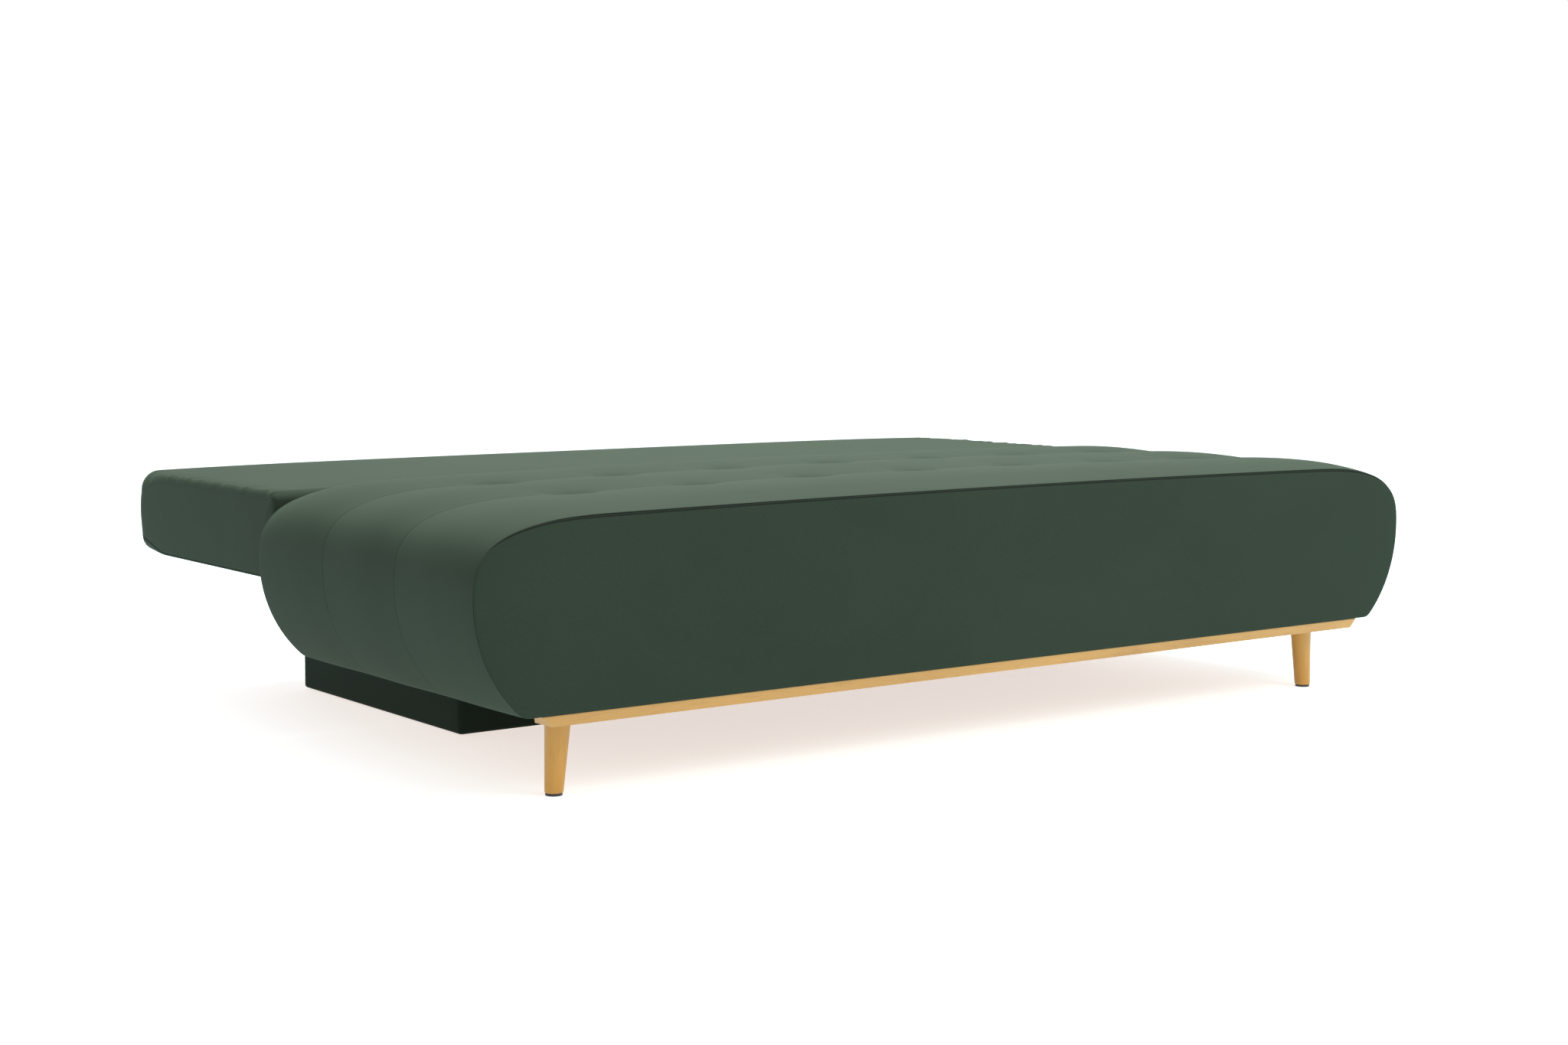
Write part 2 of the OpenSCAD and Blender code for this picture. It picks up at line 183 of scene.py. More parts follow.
def placed(obj, body, material, replaces):
    """Puts a finished piece on its body, with its finish."""
    obj.data.materials.clear()
    obj.data.materials.append(material)
    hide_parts(*replaces)
    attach(obj, body)
    return obj


# ---- cloth ----

def fill_with_pressure(obj):
    """A cloth modifier that fills a closed cover without gravity."""
    mod = obj.modifiers.new("cloth", "CLOTH")
    s = mod.settings
    s.quality = 6
    s.mass = 0.25
    s.tension_stiffness = 12
    s.compression_stiffness = 12
    s.shear_stiffness = 6
    s.bending_stiffness = 0.4
    s.use_pressure = True
    s.uniform_pressure_force = FILL_PRESSURE
    s.vertex_group_mass = "held"
    s.pin_stiffness = 1.0
    s.effector_weights.gravity = 0
    mod.collision_settings.use_collision = False
    mod.point_cache.frame_start = 1
    mod.point_cache.frame_end = FILL_FRAMES


def inflated(verts, faces, held):
    """Where the points of a closed cover come to rest when it is filled, held at some of them."""
    mesh = bpy.data.meshes.new("sim")
    mesh.from_pydata([tuple(v) for v in verts], [], faces)
    obj = bpy.data.objects.new("sim", mesh)
    scene = bpy.context.scene
    scene.collection.objects.link(obj)
    group = obj.vertex_groups.new(name="held")
    group.add([int(i) for i in np.nonzero(held)[0]], 1.0, "REPLACE")
    fill_with_pressure(obj)
    for f in range(1, FILL_FRAMES + 1):
        scene.frame_set(f)
    filled = obj.evaluated_get(bpy.context.evaluated_depsgraph_get())
    move = np.array([tuple(v.co) for v in filled.data.vertices]) - verts
    bpy.data.objects.remove(obj)
    bpy.data.meshes.remove(mesh)
    scene.frame_set(1)
    far = np.linalg.norm(move, axis=1)
    return verts + move * np.minimum(1, MOVE_CAP / np.maximum(far, 1e-9))[:, None]


# ---- seat outline ----

def seat_line(rise):
    """Right half of the seat's end view, from the turned hem up to the middle of the top."""
    low = math.asin((WAIST_Z - SEAT_BOTTOM) / BILGE_R)
    a = np.linspace(low, 0, 200)
    bilge = np.stack([HALF_L - BILGE_R + BILGE_R * np.cos(a), WAIST_Z - BILGE_R * np.sin(a)], 1)
    t = np.linspace(0, math.pi / 2, 900)[1:]
    shoulder = np.stack([
        HALF_L - SHOULDER + SHOULDER * np.cos(t) ** (2 / 3),
        WAIST_Z + rise * np.sin(t) ** (2 / 3),
    ], 1)
    hem = np.array([[WALL_X - 0.006, SEAT_BOTTOM + 0.0005]])
    middle = np.array([[0.0, WAIST_Z + rise]])
    line = np.concatenate([hem, bilge + [[0, 0.0005]], shoulder, middle])
    count = int(along(line)[-1] / 0.001)
    return smoothed(resample(line, count), 24)


def seat_path(rise, step):
    """The whole outline, left hem to right hem, with its outward normals."""
    half = seat_line(rise)
    line = mirrored(half, 2 * int(along(half)[-1] / step) + 1)
    return line, normals_2d(line)


def roll(e):
    """Rises from 0 to 1 over a padded edge."""
    return (1 - (1 - np.clip(e, 0, 1)) ** 2.4) ** 0.8


def tuft_dents(x, y):
    """Depth of the tufts' dimples, with the creases and folds round them."""
    depth = np.zeros(np.broadcast(x, y).shape)
    for tx, ty in TUFT_PLACES:
        beside, across = (x - tx) ** 2, (y - ty) ** 2
        depth += 0.0085 * np.exp(-beside / 0.034 ** 2 - across / 0.022 ** 2)
        depth += 0.0030 * np.exp(-beside / 0.024 ** 2 - across / 0.0040 ** 2)
        r = np.sqrt(beside + across)
        lobes = np.cos(6 * np.arctan2(y - ty, x - tx))
        depth -= 0.0011 * lobes * (r / 0.022) * np.exp(-(r / 0.026) ** 2)
    return depth


def strip_height(line, normal, strip, t, y):
    """How far the strip's surface stands off the seam outline, at each column and row."""
    x, z = line[:, 0][:, None], line[:, 1][:, None]
    up = np.clip(normal[:, 1], 0, 1)[:, None]
    on_top = smoothstep(WAIST_Z, WAIST_Z + 0.08, z)
    shoulder = smoothstep(0.60, 0.88, np.abs(x))
    amp = 0.0008 + 0.0016 * smoothstep(SEAT_BOTTOM + 0.03, WAIST_Z, z)
    amp = amp + (0.0008 + 0.0006 * shoulder) * on_top
    wave = 0.5 + 0.5 * np.cos(math.pi * np.abs(t))
    h = amp * (wave + (1 - np.abs(t) ** 2.2 - wave) * 0.4 * on_top * shoulder)
    drop = (SEAT_TOP - SEAM_DROP - PANEL_TOP + 0.0015) * up
    if strip == 0:
        h = np.where(t < 0, -drop + (drop + amp) * roll(1 + t), h)
    if strip == 2:
        h = np.where(t > 0, -drop + (drop + amp) * roll(1 - t), h)
    dome = 0.0115 * np.clip(1 - (x / 0.9) ** 2, 0, 1) * on_top
    edge = smoothstep(0, 0.1, y - FRONT_Y) * smoothstep(0, 0.1, REAR_Y - y)
    crease = sum(0.0003 * np.exp(-(y - seam) ** 2 / 0.004 ** 2) for seam in SEAM_YS)
    return h + dome * (0.5 + 0.5 * edge) - on_top * (crease + tuft_dents(x, y))


def strip_rows(strip, fine):
    """Places of the rows across a strip, close together near its seams."""
    if fine:
        near = np.array([0, 0.0008, 0.002, 0.004, 0.007, 0.011, 0.0165, 0.024])
        inner = np.linspace(0.033, STRIP_D - 0.033, 19)
        d = np.concatenate([near, inner, (STRIP_D - near)[::-1]])
    else:
        d = np.linspace(0, STRIP_D, 21)
    gap = 0.0001
    d = gap + d * (STRIP_D - 2 * gap) / STRIP_D
    y0 = FRONT_Y + strip * STRIP_D
    y = y0 + d
    if strip == 0:
        y = y + 0.0015 * (1 - d / STRIP_D)
    return y, 2 * d / STRIP_D - 1


def strip_rings(line, normal, y, height):
    """Rings of a strip: each goes over the outside, into one seam, along the inside and out."""
    n = len(line)
    s = along(line)
    from_hem = np.minimum(s, s[-1] - s)
    thick = (0.0024 + 0.0276 * smoothstep(0.05, 0.14, from_hem))[:, None]
    out = line[:, None, :] + normal[:, None, :] * height[:, :, None]
    outer = np.stack([out[:, :, 0], np.broadcast_to(y, (n, len(y))), out[:, :, 1]], 2)
    inner = []
    y0, y1 = y[0] + 0.0002, y[-1] - 0.0002
    for yy, share in ((y1, 0.03), (y1, 0.35), (y1, 1), ((y0 + y1) / 2, 1),
                      (y0, 1), (y0, 0.35), (y0, 0.03)):
        edge = height[:, -1:] if yy == y1 else height[:, :1]
        if yy not in (y0, y1):
            edge = (height[:, -1:] + height[:, :1]) / 2
        p = line + normal * (edge - thick * share)
        inner.append(np.stack([p[:, 0], np.full(n, yy), p[:, 1]], 1))
    return np.concatenate([outer, np.stack(inner, 1)], 1)


def strip_swell(strip):
    """Cloth simulation of a strip filled with wadding: its move off the seam outline."""
    line, normal = seat_path(SEAM_RISE, 0.012)
    y, t = strip_rows(strip, False)
    start = strip_height(line, normal, strip, t, y)
    rings = strip_rings(line, normal, y, start)
    n, k, _ = rings.shape
    m = len(y)
    held = np.ones((n, k), bool)
    held[4:-4, 1:m - 1] = False
    for tx, ty in TUFT_PLACES:
        near = np.hypot(rings[:, :, 0] - tx, rings[:, :, 1] - ty) < 0.016
        held |= near & (rings[:, :, 2] > WAIST_Z)
    end = inflated(rings.reshape(-1, 3), ring_faces(n, k), held.ravel())
    move = (end.reshape(n, k, 3) - rings)[:, :m]
    swell = move[:, :, 0] * normal[:, None, 0] + move[:, :, 2] * normal[:, None, 1]
    return along(line), t, swell


def bilinear(s, t, grid, s1, t1):
    """Values of a grid over s and t, read at s1 and t1."""
    first = np.stack([np.interp(t1, t, row) for row in grid])
    return np.stack([np.interp(s1, s, first[:, j]) for j in range(len(t1))], 1)


def seat_strip(name, strip, material, replaces):
    line, normal = seat_path(SEAM_RISE, 0.0085)
    y, t = strip_rows(strip, True)
    height = strip_height(line, normal, strip, t, y)
    s, st, swell = strip_swell(strip)
    on_top = smoothstep(WAIST_Z, WAIST_Z + 0.10, line[:, 1])[:, None]
    height = height + bilinear(s, st, swell, along(line), t) * (0.15 + 0.40 * on_top)
    rings = strip_rings(line, normal, y, height)
    if strip == 0:
        d = y - y[0]
        lip = FRONT_LIP * smoothstep(0, 0.004, d) * (1 - smoothstep(0.005, 0.045, d))
        rings[:, :len(y), 1] -= lip * on_top
    obj = tube(name, rings)
    return placed(subdivided(obj), "seat", material, replaces)


# ---- flat padded faces ----

def pad_rings(loop, normal, centre, layers, to_3d):
    """Rings of a flat pad inside a loop; its face closes towards the line centre.
    Each layer is (inset, pull towards that line, height)."""
    mid = closed_loop(centre, centre)
    rings = []
    for inset, pull, height in layers:
        p = loop - normal * np.broadcast_to(inset, len(loop))[:, None]
        p = p + (mid - p) * pull
        rings.append(to_3d(p, height))
    return np.array(rings)


def front_outline():
    """Lower and upper halves of the front panel's outline, and the whole with its normals."""
    line = seat_line(PANEL_TOP - WAIST_Z - 0.0015)
    widest = int(np.argmax(line[:, 0]))
    low, high = line[:widest + 1][::-1], line[widest:]
    bottom = np.array([[x, low[-1, 1]] for x in np.linspace(low[-1, 0], 0, 60)[1:]])
    lower = mirrored(np.concatenate([low, bottom]), 281)
    upper = mirrored(high, 281)
    bow = 0.0055 * np.clip(1 - (upper[:, 0] / 0.8) ** 2, 0, 1)
    upper = upper + np.stack([0 * bow, bow], 1)
    loop = closed_loop(lower, upper)
    return lower, upper, loop, -normals_2d(loop, closed=True)


def front_layers(gap):
    """Layers of the front panel: its back, its turned edge and its crowned face."""
    back, edge, face = FRONT_Y + 0.0016, FRONT_Y + 0.0006, FRONT_Y - 0.0018
    rim = face - 0.0004
    layers = [(gap + 0.0003, p, back) for p in (1, 0.5, 0.1, 0)]
    layers += [(gap, 0, edge), (gap + 0.0002, 0, FRONT_Y - 0.0004)]
    layers += [(gap + 0.0010, 0, FRONT_Y - 0.0012), (gap + 0.0030, 0, face)]
    layers.append((gap + 0.0070, 0, rim))
    for p in (0.06, 0.12, 0.2, 0.3, 0.4, 0.5, 0.6, 0.7, 0.8, 0.9, 1.0):
        layers.append((gap + 0.0070, p, rim - 0.0022 * (1 - (1 - p) ** 3)))
    return layers


def front_panel(material):
    lower, upper, loop, normal = front_outline()
    centre = np.stack([(lower[:, 0] + upper[:, 0]) / 2 * 0.9, np.full(len(lower), 0.272)], 1)
    gap = 0.0002 + 0.0010 * smoothstep(0.36, 0.405, loop[:, 1])

    def to_3d(p, y):
        return np.stack([p[:, 0], np.full(len(p), y), p[:, 1]], 1)

    rings = pad_rings(loop, normal, centre, front_layers(gap), to_3d)
    obj = tube("front_panel", rings, caps=False)
    return placed(subdivided(obj), "seat", material, ["front_cover", "front_foam"])


def swept(name, line, radius):
    """A thin round cord along a closed line of points that lies across Y."""
    tangent = np.roll(line, -1, 0) - np.roll(line, 1, 0)
    tangent /= np.linalg.norm(tangent, axis=1)[:, None]
    side = np.cross(tangent, [0.0, 1.0, 0.0])
    side /= np.linalg.norm(side, axis=1)[:, None]
    other = np.cross(side, tangent)
    a = np.linspace(0, 2 * math.pi, 8, endpoint=False)[None, :, None]
    around = side[:, None, :] * np.cos(a) + other[:, None, :] * np.sin(a)
    return tube(name, line[:, None, :] + radius * around, path_closed=True)


def front_seam(material):
    _, _, loop, normal = front_outline()
    p = loop - normal * 0.0012
    on_top = smoothstep(0.36, 0.405, p[:, 1])
    line = np.stack([p[:, 0], FRONT_Y + 0.0016 - 0.0012 * on_top, p[:, 1]], 1)
    radius = 0.0005 + 0.0014 * on_top
    # The cord is thin and sunk in the seam; its dark finish is painted shade for the seam's shadow
    # line.
    obj = swept("front_seam_piping", line, radius[:, None, None])
    return placed(obj, "seat", material, ["front_piping"])


def rear_panel(material):
    """Rear face of the seat, open below the deck so that the base can pass."""
    line, normal = seat_path(PANEL_TOP - WAIST_Z, 0.0085)
    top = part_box("dust_cover")[0].z
    s = along(line)
    from_hem = np.minimum(s, s[-1] - s)
    side_run = 0.30           # how far up from the hem the opening's sides go
    share = np.clip(1 - (from_hem - side_run) / (s[-1] / 2 - side_run), 0, 1)
    x = (WALL_INNER_X - 0.001) * share * np.sign(line[:, 0])
    z = line[0, 1] + (top - line[0, 1]) * np.clip(from_hem / side_run, 0, 1)
    inner = np.stack([x, z], 1)
    outer = line - normal * 0.0012
    face, back = REAR_Y - 0.0004, REAR_Y - 0.004
    shares = (0, 0.004, 0.02, 0.12, 0.3, 0.5, 0.7, 0.88, 0.98, 0.996, 1)
    layers = [(k, face - 0.0012 * (abs(2 * k - 1) ** 16)) for k in shares]
    layers += [(k, back) for k in (1, 0.5, 0)]
    rings = []
    for k, y in layers:
        p = outer + (inner - outer) * k
        rings.append(np.stack([p[:, 0], np.full(len(p), y), p[:, 1]], 1))
    obj = tube("rear_panel", np.stack(rings, 1))
    return placed(obj, "seat", material, ["rear_cover"])


# ---- back ----

back_lo, back_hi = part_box("back_cover")
BACK_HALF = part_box("back_end_right")[1].x
BACK_LO = np.array([back_lo.y, back_lo.z])
BACK_HI = np.array([back_hi.y, back_hi.z])
BACK_MID_Z = (BACK_LO[1] + BACK_HI[1]) / 2
BACK_REACH = BACK_HALF - 0.038            # the wrap's flat stations end here
PUCKER_SEED = 7
BACK_R = [0.050, 0.050, 0.050, 0.020]     # front bottom, rear bottom, rear top, front top


def arc_points(centre, radius, start, end):
    """Points and outward normals of an arc, by its angles in degrees."""
    a = np.radians(np.linspace(start, end, 12))
    n = np.stack([np.cos(a), np.sin(a)], 1)
    return np.array(centre) + radius * n, n


def edge_points(p, q, n, count):
    """Points between p and q, all with the normal n."""
    k = np.linspace(0, 1, count + 2)[1:-1, None]
    return np.array(p) * (1 - k) + np.array(q) * k, np.tile(np.array(n, float), (count, 1))


def back_half(z, r_front, r_rear, way):
    """Half of the back's end view, front to rear, with normals: way is -1 below and 1 above."""
    y0, y1 = BACK_LO[0], BACK_HI[0]
    z_front, z_rear = z - way * r_front, z - way * r_rear
    parts = [
        (np.array([[y0, BACK_MID_Z]]), np.array([[-1.0, 0.0]])),
        edge_points((y0, BACK_MID_Z), (y0, z_front), (-1, 0), 2),
        arc_points((y0 + r_front, z_front), r_front, 180, 180 - 90 * way),
        edge_points((y0 + r_front, z), (y1 - r_rear, z), (0, way), 54),
        arc_points((y1 - r_rear, z_rear), r_rear, 90 * way, 0),
        edge_points((y1, z_rear), (y1, BACK_MID_Z), (1, 0), 2),
        (np.array([[y1, BACK_MID_Z]]), np.array([[1.0, 0.0]])),
    ]
    return np.concatenate([p for p, _ in parts]), np.concatenate([n for _, n in parts])


def back_halves():
    """Lower and upper halves of the back's end view."""
    return (back_half(BACK_LO[1], BACK_R[0], BACK_R[1], -1),
            back_half(BACK_HI[1], BACK_R[3], BACK_R[2], 1))


def back_loop():
    """The back's whole end view, with its outward normals."""
    (lower, low_n), (upper, up_n) = back_halves()
    return closed_loop(lower, upper), closed_loop(low_n, up_n)


def end_roll(loop, normal):
    """Radius of the wrap's roll at each end: plump along the top and round at the rear."""
    rear = smoothstep(BACK_HI[0] - 0.17, BACK_HI[0] - 0.03, loop[:, 0])
    plump = smoothstep(0.2, 0.9, normal[:, 1])
    return 0.0022 + 0.0098 * plump * (1 - rear) + (0.026 + 0.008 * plump) * rear


def soft_corners(points):
    """Points of the back with its ends rounded in plan towards the rear and the front."""
    p = np.array(points, float)
    x, y = np.abs(p[..., 0]), p[..., 1]
    pull = np.zeros(y.shape)
    for radius, depth in ((0.066, y - BACK_HI[0] + 0.066), (0.010, BACK_LO[0] + 0.010 - y)):
        k = np.clip(depth / radius, 0, 1)
        pull += radius * (1 - np.sqrt(1 - 0.97 * k * k))
    p[..., 0] -= np.sign(p[..., 0]) * pull * smoothstep(BACK_HALF - 0.22, BACK_HALF - 0.01, x)
    return p


def back_stations(r, top, x_step):
    """Where the wrap's outer loops lie, as (x, inset), from one rolled end to the other."""
    arc = [(BACK_HALF - r + r * math.sin(a), r - r * math.cos(a))
           for a in np.linspace(0, math.pi / 2, 8)[1:]]
    tuck = [(BACK_HALF - 0.0006 - 0.0012 * top, r + 0.0003 + 0.0012 * top),
            (BACK_HALF - 0.003, r + 0.0004 + 0.0018 * top),
            (BACK_HALF - 0.012, r + 0.0006 + 0.0018 * top)]
    count = int(2 * BACK_REACH / x_step)
    flat = [(np.full(len(r), x), 0 * r) for x in np.linspace(-BACK_REACH, BACK_REACH, count + 1)]
    return [(-x, i) for x, i in reversed(arc + tuck)] + flat + arc + tuck


def back_crown(loop, normal):
    """How far the middle of the wrap's top stands up, by its place in the end view."""
    front = smoothstep(BACK_LO[0], BACK_LO[0] + 0.09, loop[:, 0])
    span = np.clip((loop[:, 0] - BACK_LO[0]) / (BACK_HI[0] - BACK_LO[0]), 0, 1)
    return 0.0055 * np.clip(normal[:, 1], 0, 1) * front * (1 - np.abs(2 * span - 1) ** 4)


def back_surface(x_step):
    """Rings of the back's wrap: loops round the end view at stations along its length."""
    loop, normal = back_loop()
    outer = back_stations(end_roll(loop, normal), smoothstep(0.2, 0.9, normal[:, 1]), x_step)
    low = normal[:, 1] < -0.5
    hemmed = low & (loop[:, 0] > BACK_LO[0] + 0.058) & (loop[:, 0] < BACK_HI[0] - 0.075)
    recess = np.where(hemmed, 0.0035, 0.0)
    crown = back_crown(loop, normal)
    placed_loops = []
    for x, inset in outer:
        along_x = np.abs(x) / BACK_HALF
        low_end = 0.0022 * along_x ** 6 * np.clip(normal[:, 1], 0, 1)
        sunk = recess if np.max(np.abs(x)) <= BACK_REACH else 0
        placed_loops.append((x, -inset - sunk + crown * (1 - along_x ** 4) - low_end))
    inner_x = BACK_HALF - 0.02
    thick = np.where(low, 0.0022, 0.028)
    for k in (1, 0.5, 0, -0.5, -1):
        placed_loops.append((np.full(len(loop), k * inner_x), -thick - recess))
    rings = []
    for x, move in placed_loops:
        p = loop + normal * move[:, None]
        rings.append(np.stack([x + np.zeros(len(p)), p[:, 0], p[:, 1]], 1))
    return soft_corners(rings), len(outer)


def slot_cutters():
    """Boxes that clear the hinges at the underside and front of the back."""
    hub_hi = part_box("hinge_plate_right")[1]
    x0, x1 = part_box("hinge_pins")[1].x - 0.0237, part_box("hinge_arm_right")[1].x
    z1, y1 = hub_hi.z + 0.004, hub_hi.y + 0.004
    bm = bmesh.new()
    for side in (-1, 1):
        corners = [(side * x, y, z) for x in (x0, x1)
                   for y in (BACK_LO[0] - 0.02, y1) for z in (BACK_LO[1] - 0.02, z1)]
        v = [bm.verts.new(c) for c in corners]
        for f in ((0, 1, 3, 2), (4, 6, 7, 5), (0, 4, 5, 1),
                  (2, 3, 7, 6), (0, 2, 6, 4), (1, 5, 7, 3)):
            bm.faces.new([v[i] for i in f])
    bmesh.ops.recalc_face_normals(bm, faces=bm.faces)
    mesh = bpy.data.meshes.new("cutter")
    bm.to_mesh(mesh)
    bm.free()
    obj = bpy.data.objects.new("cutter", mesh)
    bpy.context.scene.collection.objects.link(obj)
    return obj


def cut(obj, cutter):
    """Takes the cutter out of obj's mesh."""
    mod = obj.modifiers.new("cut", "BOOLEAN")
    mod.object = cutter
    mod.operation = "DIFFERENCE"
    mod.solver = "EXACT"
    dg = bpy.context.evaluated_depsgraph_get()
    mesh = bpy.data.meshes.new_from_object(obj.evaluated_get(dg))
    obj.modifiers.remove(mod)
    old = obj.data
    obj.data = mesh
    bpy.data.meshes.remove(old)
    bpy.data.objects.remove(cutter)


def back_wrap(material):
    rings, outer = back_surface(0.012)
    rng = np.random.default_rng(PUCKER_SEED)
    loop, normal = back_loop()
    s = along(loop)
    pucker = np.zeros(len(loop))
    for wave in (0.028, 0.041, 0.067):
        pucker += np.sin(2 * math.pi * s / wave + rng.uniform(0, 6.3)) * rng.uniform(0.3, 0.5)
    for i in range(outer):
        x = np.abs(rings[i, :, 0])
        near = smoothstep(BACK_HALF - 0.06, BACK_HALF - 0.014, x) * 0.0012
        near = near * np.clip(normal[:, 1], 0, 1)
        rings[i, :, 1] += normal[:, 0] * pucker * near
        rings[i, :, 2] += normal[:, 1] * pucker * near
    obj = tube("back_wrap", rings, path_closed=True)
    cut(obj, slot_cutters())
    return placed(obj, "back", material,
                  ["back_cover", "back_foam", "back_edge_foam"])


def end_panel_layers(inset, top):
    """Layers of an end panel: its back, its tucked edge and its crowned face."""
    h = BACK_HALF
    layers = [(inset, p, h - 0.010) for p in (1, 0.5, 0)]
    layers += [(inset, 0, h - 0.003), (inset + 0.0002, 0, h - 0.0008 - 0.001 * top),
               (inset + 0.0008, 0, h - 0.0003 - 0.0006 * top)]
    layers += [(inset + 0.0022, 0, h - 0.0001 * top), (inset + 0.006, 0, h + 0.0003),
               (inset + 0.012, 0, h + 0.0008)]
    for p in (0.15, 0.3, 0.5, 0.7, 0.85, 1.0):
        layers.append((inset + 0.012, p, h + 0.0008 + 0.0016 * (1 - (1 - p) ** 2)))
    return layers


def back_end_panel(side, material):
    (lower, _), (upper, _) = back_halves()
    loop, normal = back_loop()
    y = (lower[:, 0] + upper[:, 0]) / 2
    y_mid = (BACK_LO[0] + BACK_HI[0]) / 2
    centre = np.stack([y_mid + (y - y_mid) * 0.86, np.full(len(y), BACK_MID_Z)], 1)
    layers = end_panel_layers(end_roll(loop, normal) + 0.0006, smoothstep(0.2, 0.9, normal[:, 1]))

    def to_3d(p, x):
        return soft_corners(np.stack([side * x + np.zeros(len(p)), p[:, 0], p[:, 1]], 1))

    end = "left" if side < 0 else "right"
    obj = tube("back_end_panel_" + end, pad_rings(loop, normal, centre, layers, to_3d), caps=False)
    return placed(subdivided(obj), "back", material, ["back_end_" + end])


# ---- base ----

def rounded_rect(lo, hi, r, edges):
    """A closed outline in X and Y with its outward normals, counter-clockwise.
    edges gives how many points lie on the sides along Y and along X."""
    pts, nrm = [], []
    centres = [(hi[0] - r, lo[1] + r, -90), (hi[0] - r, hi[1] - r, 0),
               (lo[0] + r, hi[1] - r, 90), (lo[0] + r, lo[1] + r, 180)]
    for k, (cx, cy, a0) in enumerate(centres):
        for a in np.radians(np.linspace(a0, a0 + 90, 10)):
            pts.append((cx + r * math.cos(a), cy + r * math.sin(a)))
            nrm.append((math.cos(a), math.sin(a)))
        nx, ny, _ = centres[(k + 1) % 4]
        a = math.radians(a0 + 90)
        n = (math.cos(a), math.sin(a))
        q = (nx + r * n[0], ny + r * n[1])
        p = pts[-1]
        for f in np.linspace(0, 1, edges[k % 2] + 2)[1:-1]:
            pts.append((p[0] * (1 - f) + q[0] * f, p[1] * (1 - f) + q[1] * f))
            nrm.append(n)
    return np.array(pts), np.array(nrm)


def base_wrap(material):
    lo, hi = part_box("base_cover")
    proud = 0.003
    top = hi.z
    loop, normal = rounded_rect((lo.x - proud, lo.y - proud), (hi.x + proud, hi.y + proud),
                                0.010, (24, 50))
    low, r = 0.003, 0.006
    profile = [(0.016, low + 0.0022), (0.016, low), (r + 0.004, low)]
    profile += [(r - r * math.sin(a), low + r - r * math.cos(a))
                for a in np.linspace(0, math.pi / 2, 7)]
    profile += [(0.0, z) for z in np.linspace(low + r, top - 0.006, 16)[1:]]
    profile += [(0.0012, top - 0.0025), (0.0036, top - 0.0002), (0.008, top + 0.0008),
                (0.020, top + 0.0008), (0.0235, top), (0.0245, top - 0.004),
                (0.0245, top - 0.035), (0.0232, top - 0.035), (0.0232, top - 0.002),
                (0.0222, top + 0.0002), (0.006, top + 0.0002), (0.0050, top - 0.001),
                (0.0050, low + 0.009), (0.0058, low + 0.0032), (0.012, low + 0.0022)]
    rings = []
    for inset, z in profile:
        p = loop - normal * inset
        rings.append(np.stack([p[:, 0], p[:, 1], np.full(len(p), z)], 1))
    obj = tube("base_wrap", np.array(rings), path_closed=True)
    return placed(obj, "base", material, ["base_cover"])


# ---- wood and turned parts ----

def leg(side, material):
    name = "leg_right" if side > 0 else "leg_left"
    lo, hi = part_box(name)
    y = (lo.y + hi.y) / 2
    r_top, r_foot = 0.020, 0.014
    lean = math.tan(math.radians(4))
    top_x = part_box("leg_bolts")[1].x - 0.004
    rings = []
    z_list = [hi.z, hi.z - 0.002] + list(np.linspace(hi.z - 0.006, lo.z + 0.008, 12))
    z_list += [lo.z + 0.004, lo.z + 0.0015, lo.z + 0.0004, lo.z]
    trims = {lo.z + 0.0015: 0.0001, lo.z + 0.0004: 0.0006, lo.z: 0.0014}
    for z in z_list:
        f = (hi.z - z) / (hi.z - 0)
        r = r_top + (r_foot - r_top) * f - trims.get(z, 0)
        cx = top_x + (hi.z - z) * lean
        rings.append([(side * (cx + r * math.cos(a)), y + r * math.sin(a), z)
                      for a in np.linspace(0, 2 * math.pi, 48, endpoint=False)])
    obj = tube("turned_" + name, np.array(rings))
    return placed(obj, "seat", material, [name])


def roller(node, body, material):
    lo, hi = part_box(node)
    r = (hi.z - lo.z) / 2
    w = hi.x - lo.x
    bore = 0.00405
    profile = [(0, bore), (0, bore + 0.003), (0.0008, bore + 0.0036), (0.0008, r - 0.005),
               (0.0, r - 0.0044), (0.0, r - 0.0015), (0.0005, r - 0.0004), (0.0015, r),
               (w * 0.42, r), (w * 0.45, r - 0.0007), (w * 0.55, r - 0.0007), (w * 0.58, r),
               (w - 0.0015, r), (w - 0.0005, r - 0.0004), (w, r - 0.0015), (w, r - 0.0044),
               (w - 0.0008, r - 0.005), (w - 0.0008, bore + 0.0036), (w, bore + 0.003), (w, bore)]
    axis = Vector((1, 0, 0))
    side, other = Vector((0, 1, 0)), Vector((0, 0, 1))
    c = Vector((lo.x, (lo.y + hi.y) / 2, (lo.z + hi.z) / 2))
    rings = []
    for d, rad in profile:
        rings.append([tuple(c + axis * d + (side * math.cos(a) + other * math.sin(a)) * rad)
                      for a in np.linspace(0, 2 * math.pi, 48, endpoint=False)])
    obj = tube(node + "_tyre", np.array(rings), path_closed=True)
    return placed(obj, body, material, [node])


def sheet_faces(nx, ny):
    """Faces of two grids of nx by ny points, one over the other, closed round the edge."""
    off = nx * ny
    faces = []
    for i in range(nx - 1):
        for j in range(ny - 1):
            a, b = i * ny + j, (i + 1) * ny + j
            faces.append((a, a + 1, b + 1, b))
            faces.append((off + a, off + b, off + b + 1, off + a + 1))
    edge = [i * ny for i in range(nx)] + [(nx - 1) * ny + j for j in range(1, ny)]
    edge += [i * ny + ny - 1 for i in range(nx - 2, -1, -1)] + list(range(ny - 2, 0, -1))
    for a, b in zip(edge, edge[1:] + edge[:1]):
        faces.append((a, b, off + b, off + a))
    return faces


